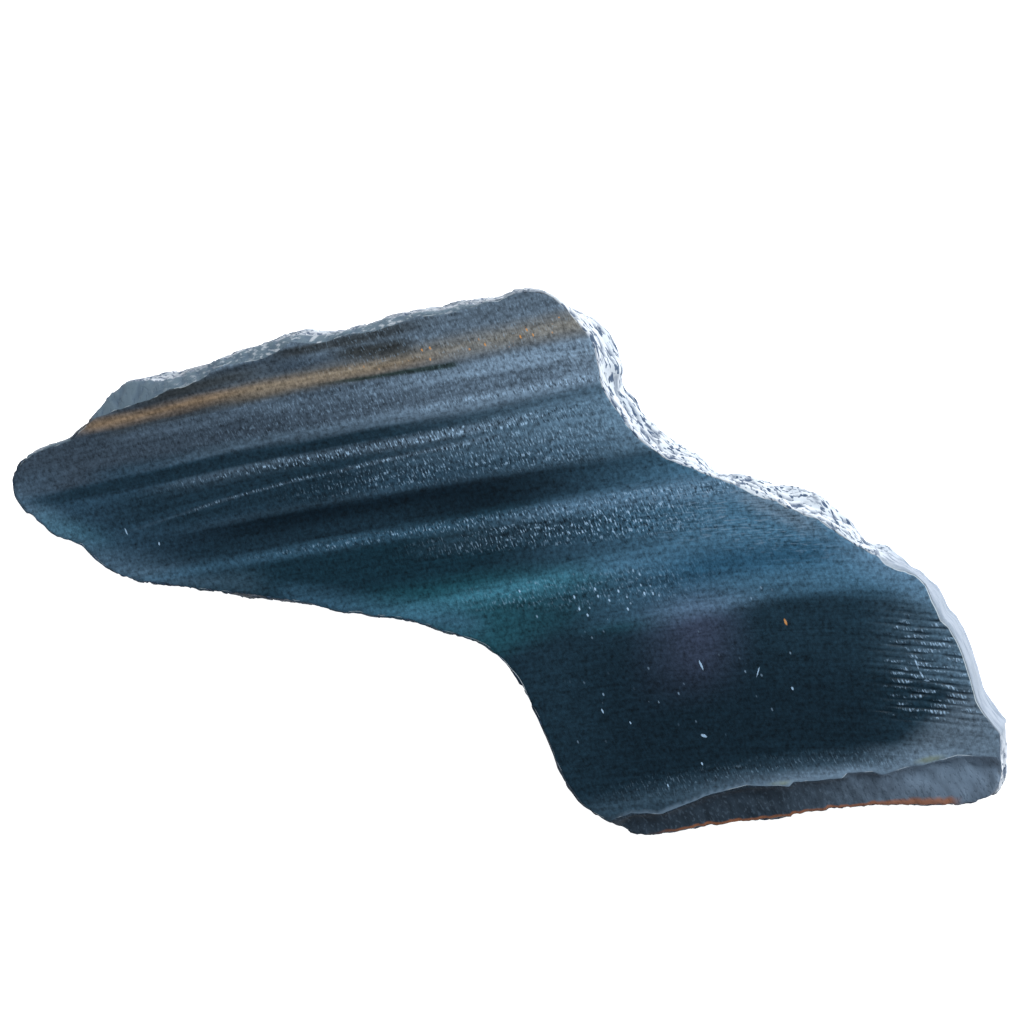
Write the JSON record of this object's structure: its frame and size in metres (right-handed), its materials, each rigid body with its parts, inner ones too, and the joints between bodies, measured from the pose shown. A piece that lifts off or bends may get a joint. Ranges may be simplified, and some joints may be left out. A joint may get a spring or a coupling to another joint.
{
  "type": "rough tiger's eye slab",
  "caption": "Flat slab sawn from rough blue tiger's eye, S-shaped in outline, with two parallel saw cuts, rough broken sides, flaked rims and a broken ledge along one edge.",
  "frame": {"origin": "On the back saw cut, in the middle of the slab's length and width.", "axes": "+X along the slab's length, towards the end with the ledge; +Y across it, towards the crest; +Z through the thickness, out of the upper saw cut"},
  "size_m": [0.1247, 0.0662, 0.009],
  "materials": {
    "stone": "sawn and unpolished"
  },
  "bodies": {
    "root": {"slab": "stone"}
  },
  "joints": []
}
